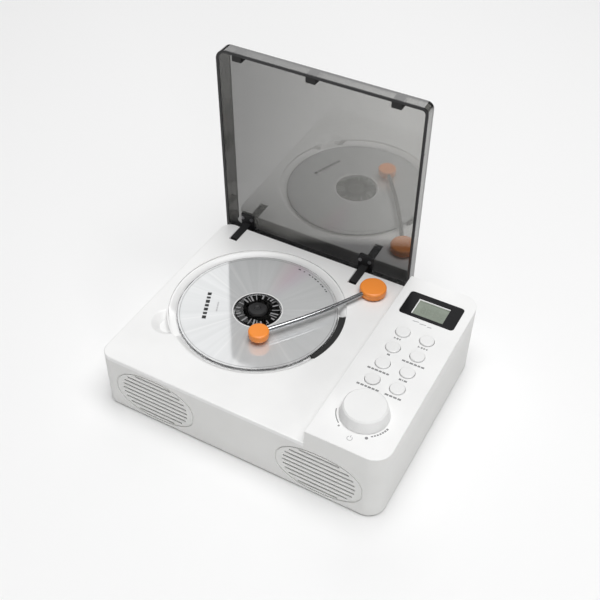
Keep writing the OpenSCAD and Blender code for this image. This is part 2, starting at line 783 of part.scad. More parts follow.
// Power socket, audio socket and the power switch's housing, on the main board behind their openings
module rear_jacks() {
    rear = body_d - 0.6;
    color([0.12, 0.12, 0.12]) place() {
        difference() {
            along_y(146, rear) translate([usb_x, main_board_top + 1.8]) stadium(9.4, 3.4);
            along_y(148, rear + 1) translate([usb_x, main_board_top + 1.8]) stadium(8.6, 2.6);
        }
        difference() {
            union() {
                box([aux_x - 4, 147, main_board_top], [aux_x + 4, 156, main_board_top + 7]);
                along_y(155, rear) translate([aux_x, main_board_top + 3.6]) circle(3.2);
            }
            along_y(rear - 14, rear + 1) translate([aux_x, main_board_top + 3.6]) circle(aux_bore_r);
        }
        difference() {
            box([slide_x - 6, 156, main_board_top],
                [slide_x + 6, body_d - wall - 0.2, main_board_top + 5.2]);
            box([slide_x - 4.4, 160, main_board_top + 1.2], [slide_x + 4.4, body_d, main_board_top + 4]);
        }
    }
}

module power_slider() {
    mid_z = main_board_top + 2.6;
    color([0.85, 0.85, 0.85]) place() {
        box([slide_x - 4, 161, mid_z - 1.1], [slide_x + 0.8, body_d - wall - 0.6, mid_z + 1.1]);
        box([slide_x - 3.2, body_d - wall - 0.6 - eps, mid_z - 1], [slide_x, body_d + 0.8, mid_z + 1]);
    }
}

module battery_pack() {
    color([0.15, 0.3, 0.6]) place() for (x = [176, 195]) translate([x, 56, 14])
        rotate([-90, 0, 0]) cylinder(r = 9, h = 66);
}

lower_case();
bottom_cover();
feet();
cover_screws();
top_deck();
disc_well();
arc_pad();
panel_cover();
lcd_bezel();
lcd_glass();
lcd_module();
panel_board();
key_switches();
board_screws();
encoder();
for (i = [0:7]) key(i);
knob();
knob_shaft();
grille_cloth_left();
grille_cloth_right();
speaker_frame_left();
speaker_frame_right();
speaker_cone_left();
speaker_cone_right();
speaker_magnet_left();
speaker_magnet_right();
speaker_screws();
lid_shell();
hinge_leg_left();
hinge_leg_right();
lid_bumpers();
leg_screws();
hinge_pins();
arm_bush();
arm_shaft();
arm_cap();
arm_tube();
arm_head();
drive_chassis();
dampers();
chassis_screws();
spindle_motor();
spindle();
turntable();
disc();
guide_rails();
pickup_sled();
pickup_lens();
feed_motor();
feed_pinion();
main_board();
rear_jacks();
battery_pack();
power_slider();
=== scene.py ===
"""Looks of the desktop disc player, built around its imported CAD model."""

import json
import math

import bmesh
import bpy
from mathutils import Matrix, Vector


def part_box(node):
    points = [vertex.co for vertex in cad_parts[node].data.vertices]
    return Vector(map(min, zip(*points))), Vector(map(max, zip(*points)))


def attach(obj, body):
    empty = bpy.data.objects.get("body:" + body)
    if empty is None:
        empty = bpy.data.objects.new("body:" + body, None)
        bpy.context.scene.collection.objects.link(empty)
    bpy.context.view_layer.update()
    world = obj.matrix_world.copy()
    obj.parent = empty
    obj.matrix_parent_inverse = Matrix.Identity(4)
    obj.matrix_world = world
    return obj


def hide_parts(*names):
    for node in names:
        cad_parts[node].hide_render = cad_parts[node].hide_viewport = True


MM = 0.001
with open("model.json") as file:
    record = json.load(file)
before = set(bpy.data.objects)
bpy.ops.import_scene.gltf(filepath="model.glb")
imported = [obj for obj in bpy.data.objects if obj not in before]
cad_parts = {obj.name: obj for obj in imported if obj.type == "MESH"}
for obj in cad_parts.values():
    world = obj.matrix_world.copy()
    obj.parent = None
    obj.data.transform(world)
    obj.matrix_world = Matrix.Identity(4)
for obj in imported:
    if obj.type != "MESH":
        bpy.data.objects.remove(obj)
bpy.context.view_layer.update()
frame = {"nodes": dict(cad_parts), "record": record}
NODE_BODY = {n: b for b, nodes in frame["record"]["behaviour"]["bodies"].items() for n in nodes}


# ---------------------------------------------------------------- places taken from the frame

def top_of(node):
    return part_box(node)[1][2]


def middle(node):
    lo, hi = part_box(node)
    return (Vector(lo) + Vector(hi)) / 2


corner = tuple(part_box("lower_case")[0][:2])
spindle = middle("turntable")
centre = (spindle[0], spindle[1])
disc_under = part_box("disc")[0][2]
disc_top = top_of("disc")
deck_z = top_of("top_deck")
panel_z = top_of("panel_cover")
glass_z = top_of("lcd_glass")


# ---------------------------------------------------------------- shader helpers

class Shader:
    """A Principled material with short names for adding nodes."""

    def __init__(self, name):
        self.mat = bpy.data.materials.new(name)
        self.mat.use_nodes = True
        self.tree = self.mat.node_tree
        self.bsdf = self.tree.nodes["Principled BSDF"]
        self.coords = self.add("ShaderNodeTexCoord").outputs["Object"]

    def add(self, kind, **settings):
        node = self.tree.nodes.new(kind)
        for key, value in settings.items():
            setattr(node, key, value)
        return node

    def put(self, socket, value):
        if isinstance(value, bpy.types.NodeSocket):
            self.tree.links.new(value, socket)
        else:
            socket.default_value = value

    def base(self, **values):
        for key, value in values.items():
            self.put(self.bsdf.inputs[key.replace("_", " ")], value)
        return self

    def noise(self, scale, detail=3, rough=0.5, distortion=0, coords=None):
        node = self.add("ShaderNodeTexNoise")
        self.put(node.inputs["Vector"], coords or self.coords)
        self.put(node.inputs["Scale"], scale)
        self.put(node.inputs["Detail"], detail)
        self.put(node.inputs["Roughness"], rough)
        self.put(node.inputs["Distortion"], distortion)
        return node.outputs["Fac"]

    def spread(self, value, low, high, from_low=0.3, from_high=0.7):
        """Maps a factor to the range low to high."""
        node = self.add("ShaderNodeMapRange")
        limits = {"From Min": from_low, "From Max": from_high, "To Min": low, "To Max": high}
        for key, number in limits.items():
            self.put(node.inputs[key], number)
        self.put(node.inputs["Value"], value)
        return node.outputs["Result"]

    def math(self, operation, a, b=0.0):
        node = self.add("ShaderNodeMath", operation=operation)
        self.put(node.inputs[0], a)
        self.put(node.inputs[1], b)
        return node.outputs[0]

    def mix(self, factor, a, b, blend="MIX"):
        node = self.add("ShaderNodeMix", data_type="RGBA", blend_type=blend)
        self.put(node.inputs["Factor"], factor)
        self.put(node.inputs[6], a)
        self.put(node.inputs[7], b)
        return node.outputs[2]

    def split(self, coords=None):
        node = self.add("ShaderNodeSeparateXYZ")
        self.put(node.inputs[0], coords or self.coords)
        return node.outputs

    def moved(self, location=(0, 0, 0), rotation=(0, 0, 0), scale=(1, 1, 1)):
        node = self.add("ShaderNodeMapping")
        self.put(node.inputs["Vector"], self.coords)
        for key, value in (("Location", location), ("Rotation", rotation), ("Scale", scale)):
            self.put(node.inputs[key], value)
        return node.outputs["Vector"]

    def bump(self, height, strength, distance):
        node = self.add("ShaderNodeBump")
        self.put(node.inputs["Height"], height)
        self.put(node.inputs["Strength"], strength)
        self.put(node.inputs["Distance"], distance)
        last = self.bsdf.inputs["Normal"]
        if last.is_linked:
            self.put(node.inputs["Normal"], last.links[0].from_socket)
        self.put(last, node.outputs["Normal"])
        return self


def rgb(r, g, b, a=1.0):
    return (r, g, b, a)


def shade(colour, factor):
    return tuple(min(1.0, c * factor) for c in colour[:3]) + (1.0,)


def moulded(name, colour, rough, grain=2600, depth=0.00002, coat=0.0, strength=0.25, gloss=0.5,
            shaded_walls=None):
    """Injection-moulded plastic: fine spark-eroded grain, slow changes of gloss and a faint cloudiness.

    An optional (height, colour) pair gives the height below which a part's faces take a darker colour: painted
    shade.
    """
    s = Shader(name)
    cloud = s.noise(28, detail=2)
    fine = s.noise(grain, detail=2, rough=0.6)
    tone = s.mix(s.spread(cloud, 0, 1), shade(colour, 0.975), shade(colour, 1.02))
    # Painted shade: faces below the given height take a darker colour
    if shaded_walls:
        height, below = shaded_walls
        tone = s.mix(s.spread(s.split()[2], 1, 0, height - 0.3 * MM, height), tone, below)
    dust = s.spread(s.noise(900, detail=1), 0, 1, 0.70, 0.80)
    s.base(Base_Color=s.mix(s.math("MULTIPLY", dust, 0.06), tone, shade(colour, 0.8)))
    slow = s.spread(cloud, rough - 0.03, rough + 0.03)
    s.base(Roughness=s.math("ADD", slow, s.spread(fine, -0.03, 0.03)))
    s.bsdf.inputs["Coat Weight"].default_value = coat
    s.bsdf.inputs["Coat Roughness"].default_value = 0.25
    s.bsdf.inputs["Specular IOR Level"].default_value = gloss
    return s.bump(fine, strength, depth).mat


def metal(name, colour, rough, scratch=0.05, scale=(1, 1, 1), grain=900):
    """Metal with fine lines along one axis and slow changes of gloss."""
    s = Shader(name)
    lines = s.noise(grain, detail=3, coords=s.moved(scale=scale))
    cloud = s.noise(60, detail=2)
    s.base(Base_Color=s.mix(s.spread(cloud, 0, 1), shade(colour, 0.94), shade(colour, 1.03)), Metallic=1.0)
    worn = s.spread(lines, rough - scratch / 2, rough + scratch)
    s.base(Roughness=s.math("ADD", worn, s.spread(cloud, 0, 0.04)))
    return s.bump(lines, 0.12, 0.00001).mat


# ---------------------------------------------------------------- materials

WHITE = rgb(0.89, 0.89, 0.885)
# Darker copy of the deck's white, used on the case: painted shade, as the case is the same white plastic
SHADED_WHITE = rgb(0.775, 0.775, 0.76)

mat_case = moulded("case_shaded_white", SHADED_WHITE, 0.42, grain=2200, depth=0.00003)
mat_deck = moulded("deck_white", WHITE, 0.34, grain=3200, depth=0.000012, coat=0.12)
# The panel's faces below its top take the darker white: painted shade
mat_panel = moulded("panel_white", WHITE, 0.34, grain=3200, depth=0.000012, coat=0.12,
                    shaded_walls=(panel_z - 0.5 * MM, SHADED_WHITE))
mat_cover = moulded("cover_grey", rgb(0.62, 0.62, 0.61), 0.6, grain=1400, depth=0.00005)
mat_button = moulded("button_white", rgb(0.86, 0.86, 0.855), 0.3, grain=3600, depth=0.00001, coat=0.2)
mat_black = moulded("gloss_black", rgb(0.010, 0.010, 0.011), 0.26, grain=3000, depth=0.000004, gloss=0.14)
mat_dark = moulded("matte_black", rgb(0.016, 0.016, 0.017), 0.5, grain=1800, depth=0.00003)
mat_orange = moulded("orange_satin", rgb(1.0, 0.31, 0.045), 0.4, grain=2400, depth=0.000012, coat=0.15)
mat_rubber = moulded("rubber_black", rgb(0.016, 0.016, 0.016), 0.72, grain=1500, depth=0.00006)
mat_board = moulded("board_green", rgb(0.02, 0.14, 0.06), 0.35, grain=700, depth=0.00004, coat=0.3)
mat_nylon = moulded("nylon", rgb(0.62, 0.60, 0.52), 0.45)
mat_wrap = moulded("battery_wrap", rgb(0.03, 0.10, 0.42), 0.3, coat=0.3)
mat_print = moulded("grey_print", rgb(0.24, 0.24, 0.245), 0.5)
mat_faint = moulded("pale_print", rgb(0.42, 0.42, 0.43), 0.5)
mat_hub_reflection = moulded("hub_grey", rgb(0.34, 0.34, 0.35), 0.4)
mat_edge = moulded("dark_edge", rgb(0.010, 0.010, 0.011), 0.3, grain=2600, depth=0.00001)
mat_steel = metal("ground_steel", rgb(0.62, 0.62, 0.64), 0.22, scale=(1, 14, 14))
mat_chrome = metal("arm_chrome", rgb(0.46, 0.47, 0.485), 0.16, scratch=0.04, scale=(6, 6, 6), grain=1500)
mat_zinc = metal("screw_zinc", rgb(0.42, 0.42, 0.44), 0.34, scratch=0.1)
mat_can = metal("motor_can", rgb(0.52, 0.52, 0.54), 0.3, scale=(1, 1, 18))
mat_magnet = metal("magnet", rgb(0.10, 0.10, 0.11), 0.5)


def smoked_acrylic():
    """Polished smoked acrylic: lighter to the right, with a nearly black band along the hinge.

    Both are painted reflections that copy how the lid looks in use; clear smoked sheet would be even. The index
    of refraction is raised above acrylic's 1.49 for a stronger reflection.
    """
    s = Shader("smoked_acrylic")
    cloud = s.noise(14, detail=2)
    hair = s.noise(260, detail=4, coords=s.moved(rotation=(0, 0.5, 0), scale=(1, 1, 12)))
    x, _, z = s.split()
    right = s.math("MAXIMUM", s.math("ADD", x, 0.055), 0.0)
    slant = s.math("SUBTRACT", z, s.math("MULTIPLY", right, 0.36))
    # Painted reflection: a nearly black band along the hinge, slanting up towards the right
    low = s.spread(slant, 1, 0, 0.043, 0.052)
    # Painted reflection: the smoke lighter towards the right
    painted_reflection_side = s.spread(s.math("ADD", x, s.math("MULTIPLY", cloud, 0.02)), 0, 1, -0.09, 0.04)
    smoke_with_painted_reflection = s.mix(painted_reflection_side, rgb(0.09, 0.089, 0.084), rgb(0.33, 0.327, 0.312))
    s.base(Base_Color=s.mix(s.math("MULTIPLY", low, 0.93), smoke_with_painted_reflection, rgb(0.012, 0.012, 0.013)))
    s.base(Roughness=s.spread(hair, 0.015, 0.04))
    s.bsdf.inputs["IOR"].default_value = 2.6
    s.bsdf.inputs["Specular IOR Level"].default_value = 1.0
    s.bsdf.inputs["Transmission Weight"].default_value = 1.0
    return s.mat


def clear_plastic():
    s = Shader("clear_polycarbonate")
    s.base(Base_Color=rgb(0.93, 0.93, 0.94), Roughness=s.spread(s.noise(300), 0.02, 0.06))
    s.bsdf.inputs["IOR"].default_value = 1.5
    s.bsdf.inputs["Transmission Weight"].default_value = 1.0
    return s.mat


def display_glass():
    s = Shader("display_glass")
    low = s.spread(s.noise(90, detail=2), 0, 1)
    s.base(Base_Color=s.mix(low, rgb(0.19, 0.225, 0.175), rgb(0.235, 0.27, 0.215)))
    s.base(Roughness=s.spread(s.noise(1200), 0.2, 0.3))
    s.bsdf.inputs["Coat Weight"].default_value = 0.5
    s.bsdf.inputs["Coat Roughness"].default_value = 0.08
    return s.mat


def woven_cloth():
    s = Shader("grille_cloth")
    x, _, z = s.split()
    pitch = 2 * math.pi / (0.7 * MM)
    warp, weft = (s.math("SINE", s.math("MULTIPLY", along, pitch)) for along in (x, z))
    weave = s.math("MULTIPLY", warp, weft)
    pale = s.mix(s.spread(weave, 0, 1, -1, 1), rgb(0.36, 0.36, 0.355), rgb(0.50, 0.50, 0.49))
    s.base(Base_Color=pale, Roughness=0.9)
    return s.bump(weave, 0.8, 0.0001).mat


def paper_cone():
    s = Shader("paper_cone")
    fibre = s.noise(700, detail=5, rough=0.7)
    s.base(Base_Color=s.mix(s.spread(fibre, 0, 1), rgb(0.02, 0.02, 0.02), rgb(0.05, 0.05, 0.048)), Roughness=0.85)
    return s.bump(fibre, 0.5, 0.00008).mat


def disc_mirror():
    """Silver label: part mirror, part ink, with painted radial highlights and a faint painted pink sheen towards
    the back.
    """
    s = Shader("disc_mirror")
    x, y, _ = s.split(s.moved(location=(-spindle[0], -spindle[1], 0)))
    radius = s.math("SQRT", s.math("ADD", s.math("MULTIPLY", x, x), s.math("MULTIPLY", y, y)))
    angle = s.math("ARCTAN2", y, x)
    grooves = s.math("SINE", s.math("MULTIPLY", radius, 2 * math.pi / (0.35 * MM)))
    around = s.add("ShaderNodeCombineXYZ")
    s.put(around.inputs[0], s.math("COSINE", angle))
    s.put(around.inputs[1], s.math("SINE", angle))
    streak = s.noise(7, detail=2, rough=0.6, coords=around.outputs[0])
    # Painted sheen: a faint pink rainbow spreading towards the back of the disc
    hue = s.add("ShaderNodeHueSaturation")
    s.put(hue.inputs["Color"], rgb(0.74, 0.56, 0.64))
    s.put(hue.inputs["Hue"], s.spread(angle, 0.38, 0.60, 1.1, 1.9))
    painted_sheen_fan = s.spread(s.math("ABSOLUTE", s.math("SUBTRACT", angle, 1.5)), 1, 0, 0.02, 0.3)
    painted_sheen_fan = s.math("MULTIPLY", painted_sheen_fan, s.spread(radius, 0, 0.55, 0.015, 0.04))
    silver = s.mix(s.spread(streak, 0, 1, 0.35, 0.7), rgb(0.72, 0.73, 0.735), rgb(0.78, 0.79, 0.795))
    # Painted highlight: soft radial streaks that lighten the silver towards white
    painted_highlight = s.spread(s.noise(11, detail=0, coords=around.outputs[0]), 0, 1, 0.70, 0.76)
    silver = s.mix(s.math("MULTIPLY", painted_highlight, 0.28), silver, rgb(0.93, 0.93, 0.92))
    s.base(Base_Color=s.mix(painted_sheen_fan, silver, hue.outputs[0]), Metallic=0.36)
    s.base(Roughness=s.math("ADD", s.spread(streak, 0.05, 0.08), s.spread(grooves, 0, 0.02, -1, 1)))
    return s.bump(grooves, 0.03, 0.000002).mat


mat_lid = smoked_acrylic()
mat_clear = clear_plastic()
mat_lcd = display_glass()
mat_cloth = woven_cloth()
mat_cone = paper_cone()
mat_disc = disc_mirror()

BY_SLOT = {
    "case_plastic": mat_case, "deck_plastic": mat_deck, "cover_plastic": mat_cover,
    "button_plastic": mat_button, "black_plastic": mat_black, "dark_plastic": mat_dark,
    "smoke_acrylic": mat_lid, "orange_plastic": mat_orange,
    "lcd_glass": mat_lcd, "lcd_white": mat_button, "disc_mirror": mat_disc, "steel": mat_steel,
    "arm_chrome": mat_chrome, "screw_steel": mat_zinc, "motor_can": mat_can, "magnet": mat_magnet,
    "paper_cone": mat_cone, "grille_fabric": mat_cloth, "rubber": mat_rubber, "board_green": mat_board,
    "gear_nylon": mat_nylon, "battery_wrap": mat_wrap,
}
SLOT_OF = {p["node"]: p["material_slot"] for p in frame["record"]["subparts"]}


def dress(obj, material):
    obj.data.materials.clear()
    obj.data.materials.append(material)


for node, obj in frame["nodes"].items():
    dress(obj, BY_SLOT[SLOT_OF[node]])


# ---------------------------------------------------------------- mesh helpers

def piece(name, mesh, body, material):
    """Adds a mesh as a piece that rides on a body."""
    obj = bpy.data.objects.new(name, mesh)
    bpy.context.scene.collection.objects.link(obj)
    dress(obj, material)
    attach(obj, body)
    return obj


def smooth(mesh, angle=35):
    mesh.shade_smooth()
    mesh.set_sharp_from_angle(angle=math.radians(angle))


def rounded_copy(node, rules, segments=3, material=None):
    """A copy of a CAD node with some sharp edges rounded; rules give (test of an edge's two ends, width)."""
    source = frame["nodes"][node]
    mesh = bpy.data.meshes.new(node + "_soft")
    bm = bmesh.new()
    bm.from_mesh(source.data)
    bmesh.ops.remove_doubles(bm, verts=bm.verts, dist=0.002 * MM)
    bmesh.ops.dissolve_limit(bm, angle_limit=math.radians(0.5), verts=bm.verts, edges=bm.edges)
    for test, width in rules:
        edges = [e for e in bm.edges if len(e.link_faces) == 2
                 and e.calc_face_angle(0) > math.radians(35) and test(e.verts[0].co, e.verts[1].co)]
        if edges:
            bmesh.ops.bevel(bm, geom=edges, offset=width, segments=segments, profile=0.5,
                            affect="EDGES", clamp_overlap=True, harden_normals=False)
    bm.to_mesh(mesh)
    bm.free()
    smooth(mesh, 32)
    slot = SLOT_OF[node]
    obj = piece(node + "_soft", mesh, NODE_BODY[node], material or BY_SLOT[slot])
    weighted = obj.modifiers.new("weighted", "WEIGHTED_NORMAL")
    weighted.keep_sharp = True
    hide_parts(node)
    return obj


def at_height(z, reach=0.05 * MM):
    return lambda a, b: abs(a.z - z) < reach and abs(b.z - z) < reach


# ---------------------------------------------------------------- shells with rounded edges

rounded_copy("top_deck", [(at_height(deck_z), 0.9 * MM)])
rounded_copy("panel_cover", [(at_height(panel_z), 0.8 * MM)], material=mat_panel)
rounded_copy("lcd_bezel", [(at_height(top_of("lcd_bezel")), 0.3 * MM)])
for number in range(1, 9):
    node = f"key_{number}"
    rounded_copy(node, [(at_height(top_of(node)), 0.7 * MM)], segments=4)


# ---------------------------------------------------------------- building blocks for the small pieces

def spot(x, y, z=0.0):
    """A place in the frame from millimetres counted from the case's front left corner."""
    return Vector((corner[0] + x * MM, corner[1] + y * MM, z * MM))


def finished(bm, name, angle, body, material):
    """Turns a bmesh into a smooth-shaded piece."""
    mesh = bpy.data.meshes.new(name)
    bm.to_mesh(mesh)
    bm.free()
    smooth(mesh, angle)
    return piece(name, mesh, body, material)


def lathe(name, profile, body, material, steps=128):
    """Turns a closed profile of (radius, height) in millimetres about the disc's axis."""
    bm = bmesh.new()
    rings = [[bm.verts.new((centre[0] + r * MM * math.cos(2 * math.pi * i / steps),
                            centre[1] + r * MM * math.sin(2 * math.pi * i / steps), z * MM))
              for i in range(steps)] for r, z in profile]
    for inner, outer in zip(rings, rings[1:] + rings[:1]):
        for i in range(steps):
            k = (i + 1) % steps
            bm.faces.new((inner[i], inner[k], outer[k], outer[i]))
    bmesh.ops.remove_doubles(bm, verts=bm.verts, dist=0.0001 * MM)
    bmesh.ops.recalc_face_normals(bm, faces=bm.faces)
    return finished(bm, name, 30, body, material)


def prisms(name, outlines, z0, z1, body, material):
    """Upright prisms from closed outlines of (x, y) in metres, as one piece."""
    bm = bmesh.new()
    for outline in outlines:
        low = [bm.verts.new((x, y, z0)) for x, y in outline]
        high = [bm.verts.new((x, y, z1)) for x, y in outline]
        bm.faces.new(high)
        bm.faces.new(low[::-1])
        for i in range(len(low)):
            k = (i + 1) % len(low)
            bm.faces.new((low[i], low[k], high[k], high[i]))
    bmesh.ops.recalc_face_normals(bm, faces=bm.faces)
    return finished(bm, name, 30, body, material)


def block(x, y, w, d, turn=0.0, origin=(0, 0)):
    """A small rectangle centred at x, y (millimetres), turned about its centre."""
    c, n = math.cos(turn), math.sin(turn)
    return [(origin[0] + (x + c * a - n * b) * MM, origin[1] + (y + n * a + c * b) * MM)
            for a, b in ((-w / 2, -d / 2), (w / 2, -d / 2), (w / 2, d / 2), (-w / 2, d / 2))]


def band(x, y, r, w, start, end, origin=(0, 0), steps=24):
    """A piece of a ring, from start to end degrees."""
    angles = [math.radians(start + (end - start) * i / steps) for i in range(steps + 1)]
    ring = [(r + w / 2, a) for a in angles] + [(r - w / 2, a) for a in reversed(angles)]
    return [(origin[0] + (x + q * math.cos(a)) * MM, origin[1] + (y + q * math.sin(a)) * MM) for q, a in ring]


def arrow(x, y, size, origin=(0, 0), flip=1):
    return [(origin[0] + (x + flip * a * size) * MM, origin[1] + (y + b * size) * MM)
            for a, b in ((-0.5, -0.5), (0.5, 0.0), (-0.5, 0.5))]


# ---------------------------------------------------------------- disc, turntable and well

PRINT = 0.03 * MM  # how far printed marks stand above what they are printed on
disc_z = disc_top / MM
under_z = disc_under / MM
disc_label = lathe("disc_label", [(17.9, under_z + 0.1), (59.2, under_z + 0.1), (59.2, disc_z), (17.9, disc_z)],
                   "disc_drive", mat_disc, steps=192)
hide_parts("disc")
lathe("disc_hub", [(7.5, under_z), (17.9, under_z), (17.9, disc_z), (16.9, disc_z), (16.6, disc_z - 0.15),
                   (16.2, disc_z), (7.8, disc_z), (7.5, disc_z - 0.3)],
      "disc_drive", mat_clear)
lathe("disc_rim", [(59.2, under_z), (59.8, under_z), (60, under_z + 0.2), (60, disc_z - 0.2), (59.8, disc_z),
                   (59.2, disc_z)], "disc_drive", mat_clear, steps=192)


def print_and_highlight_ring(name, inner, outer, material, steps):
    """A thin ring on the disc, between two radii, used for a printed line and for a painted highlight."""
    lathe(name, [(inner, disc_z - 0.05), (outer, disc_z - 0.05), (outer, disc_z + 0.03), (inner, disc_z + 0.03)],
          "disc_drive", material, steps=steps)


print_and_highlight_ring("disc_ring_line", 57.6, 57.95, mat_print, 192)
# A white ring round the hub: a painted highlight along the hub's edge
print_and_highlight_ring("disc_hub_painted_highlight", 18.4, 18.9, mat_button, 128)

# Dashes along the rim, as (start, sweep) in degrees, and a row of bars in the disc's left half
RIM_DASHES = ((50, 1.5), (52.4, 1), (56, 2.1), (59.2, 1.2), (63, 1.6), (66, 2.4), (70, 1.1), (73, 1.8), (79, 1.2),
              (83, 2.2))
marks = [band(0, 0, 55.6, 1.0, start, start + sweep, centre, 3) for start, sweep in RIM_DASHES]
row = math.radians(-67)
for k, length in enumerate((3.0, 2.2, 3.4, 2.6, 3.0, 2.4, 3.2)):
    reach = -12.6 + 4.2 * k
    marks.append(block(-35.6 + reach * math.cos(row), -14.2 + reach * math.sin(row), length, 3.0, row, centre))
prisms("disc_marks", marks, disc_top - 0.05 * MM, disc_top + PRINT, "disc_drive", mat_dark)
faint = [block(-27.6 + reach * math.cos(row), -12.4 + reach * math.sin(row), 1.6, 1.1, row, centre)
         for reach in (-5, -2.4, 0.4, 3)]
prisms("disc_faint_marks", faint, disc_top - 0.05 * MM, disc_top + 0.025 * MM,
       "disc_drive", mat_faint)

# Light grey radial wedges on the hub: painted reflections of the clear hub over the turntable
HUB_WEDGES = 24
HUB_WEDGE_OUTER = 16.3
hub_reflections = []
for k in range(HUB_WEDGES):
    turn = 2 * math.pi * (k + 0.3 * math.sin(5 * k)) / HUB_WEDGES
    length = 4.6 + 1.6 * math.sin(7 * k + 1)
    reach = HUB_WEDGE_OUTER - length / 2
    hub_reflections.append(block(reach * math.cos(turn), reach * math.sin(turn), length, 0.6 + 0.5 * (k % 2), turn, centre))
prisms("hub_painted_reflections", hub_reflections, disc_top - 0.1 * MM, disc_top + PRINT, "disc_drive", mat_hub_reflection)
for k in range(3):
    mid = 60 + 120 * k
    prisms(f"hub_finger_{k + 1}", [band(0, 0, 6.2, 2.1, mid - 22, mid + 22, centre, 10)],
           disc_top, disc_top + 0.85 * MM, "disc_drive", mat_dark)

well_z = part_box("arc_pad")[0][2] / MM


LIP_FROM, LIP_SWEEP = 22.0, 316.0  # degrees; the rest of the turn is the pad's
NOTCH_FROM_CENTRE = (49.05, 44.16)  # how far left of and in front of the spindle the finger notch is
NOTCH_REACH, NOTCH_FADE = 15.5, 3.0


def lip():
    """The sloped lip between the disc and the deck, left out at the pad and cut low at the finger notch."""
    profile = [(61.0, well_z - 0.05), (61.0, well_z + 0.5), (61.5, well_z + 1.0), (64.6, well_z + 3.7),
               (65.2, well_z + 3.9), (65.95, well_z + 3.9), (65.95, well_z - 0.05)]
    middle_r = 63.5
    bm = bmesh.new()
    rings = []
    steps = 150
    for i in range(steps + 1):
        a = math.radians(LIP_FROM + LIP_SWEEP * i / steps)
        off = math.hypot(middle_r * math.cos(a) + NOTCH_FROM_CENTRE[0],
                         middle_r * math.sin(a) + NOTCH_FROM_CENTRE[1])
        low = max(0.0, min(1.0, (NOTCH_REACH - off) / NOTCH_FADE))
        rings.append([bm.verts.new((centre[0] + r * MM * math.cos(a), centre[1] + r * MM * math.sin(a),
                                    (z - low * max(0.0, z - well_z - 0.3)) * MM)) for r, z in profile])
    for a, b in zip(rings, rings[1:]):
        for i in range(len(profile)):
            k = (i + 1) % len(profile)
            bm.faces.new((a[i], a[k], b[k], b[i]))
    bm.faces.new(rings[0])
    bm.faces.new(rings[-1][::-1])
    bmesh.ops.recalc_face_normals(bm, faces=bm.faces)
    finished(bm, "well_lip", 30, "case", mat_deck)


lip()
bead_z = deck_z / MM
lathe("well_bead", [(66.0, bead_z - 0.4), (66.0, bead_z - 0.05), (66.5, bead_z + 0.12), (67.0, bead_z + 0.06),
                    (67.2, bead_z - 0.4)], "case", mat_deck, steps=192)


# ---------------------------------------------------------------- lid edge

LID_TILT = math.radians(88.5)
hinge = spot(0, 164.5, 43)


def raised(x, y, z):
    """Where a point of the shut lid (case millimetres) is with the lid at rest."""
    p = spot(x, y, z) - hinge
    c, n = math.cos(LID_TILT), math.sin(LID_TILT)
    return Vector((hinge.x + p.x, hinge.y + p.y * c + p.z * n, hinge.z - p.y * n + p.z * c))


def lid_outline(inset, steps=8):
    x0, x1, y0, y1 = 0.2 + inset, 162.5 - inset, 1.2 + inset, 172.6 - inset
    points = []
    for cx, cy, r, start in ((x0, y0, 8, 180), (x1, y0, 5, 270), (x1, y1, 5, 0), (x0, y1, 8, 90)):
        r -= inset
        sx, sy = (1 if cx == x0 else -1), (1 if cy == y0 else -1)
        for i in range(steps + 1):
            a = math.radians(start + 90 * i / steps)
            points.append((cx + sx * r + r * math.cos(a), cy + sy * r + r * math.sin(a)))
    return points


def lid_rim():
    """The dark lip along the lid's free edge."""
    bm = bmesh.new()
    loops = []
    for inset, z in ((-0.02, 50.2), (-0.02, 49.26), (0.5, 49.2), (1.6, 49.2), (2.06, 49.3), (2.06, 50.2)):
        loops.append([bm.verts.new(raised(x, y, z)) for x, y in lid_outline(inset)])
    total = len(loops[0])
    for a, b in zip(loops, loops[1:] + loops[:1]):
        for i in range(total):
            k = (i + 1) % total
            bm.faces.new((a[i], a[k], b[k], b[i]))
    bmesh.ops.recalc_face_normals(bm, faces=bm.faces)
    cut_y = raised(0, 156, 49.3).z
    gone = [f for f in bm.faces if f.calc_center_median().z < cut_y]
    bmesh.ops.delete(bm, geom=gone, context="FACES")
    ends = [e for e in bm.edges if e.is_boundary]
    bmesh.ops.holes_fill(bm, edges=ends)
    finished(bm, "lid_rim", 40, "lid", mat_edge)


lid_rim()


# ---------------------------------------------------------------- printed marks on the panel

KEY_X = (182.7, 201.0)
KEY_Y = (112, 95, 78, 61.5)
LABEL_DROP = 7.9  # from a key's centre down to its label
GAP = 0.6
KNOB_AT = (191.3, 31.5)
# Widths of the bars under each key, in millimetres
LABELS = ((1.4, 1.0), (1.3, 1.0), (2.2,), (2.4, 2.0, 2.6, 2.2, 1.8, 2.3), (2.3, 1.9, 2.5, 2.0, 2.2, 1.9),
          (1.7, 0.7, 2.2), (2.2, 2.4, 1.8, 2.3, 2.1, 2.4), (2.7, 2.2, 2.6, 2.4))

printed = []
for number, widths in enumerate(LABELS):
    x, y = KEY_X[number % 2] + 0.2, KEY_Y[number // 2] - LABEL_DROP
    at = x - (sum(widths) + GAP * (len(widths) - 1)) / 2
    for w in widths:
        printed.append(block(at + w / 2, y, w, 1.5, 0, corner))
        at += w + GAP
arrow_y = KEY_Y[0] - LABEL_DROP
printed.append(arrow(KEY_X[0] - 2.4, arrow_y, 1.8, corner))
printed.append(arrow(KEY_X[1] - 2.6, arrow_y, 1.7, corner))
printed.append(arrow(KEY_X[1] + 2.8, arrow_y, 1.7, corner, -1))

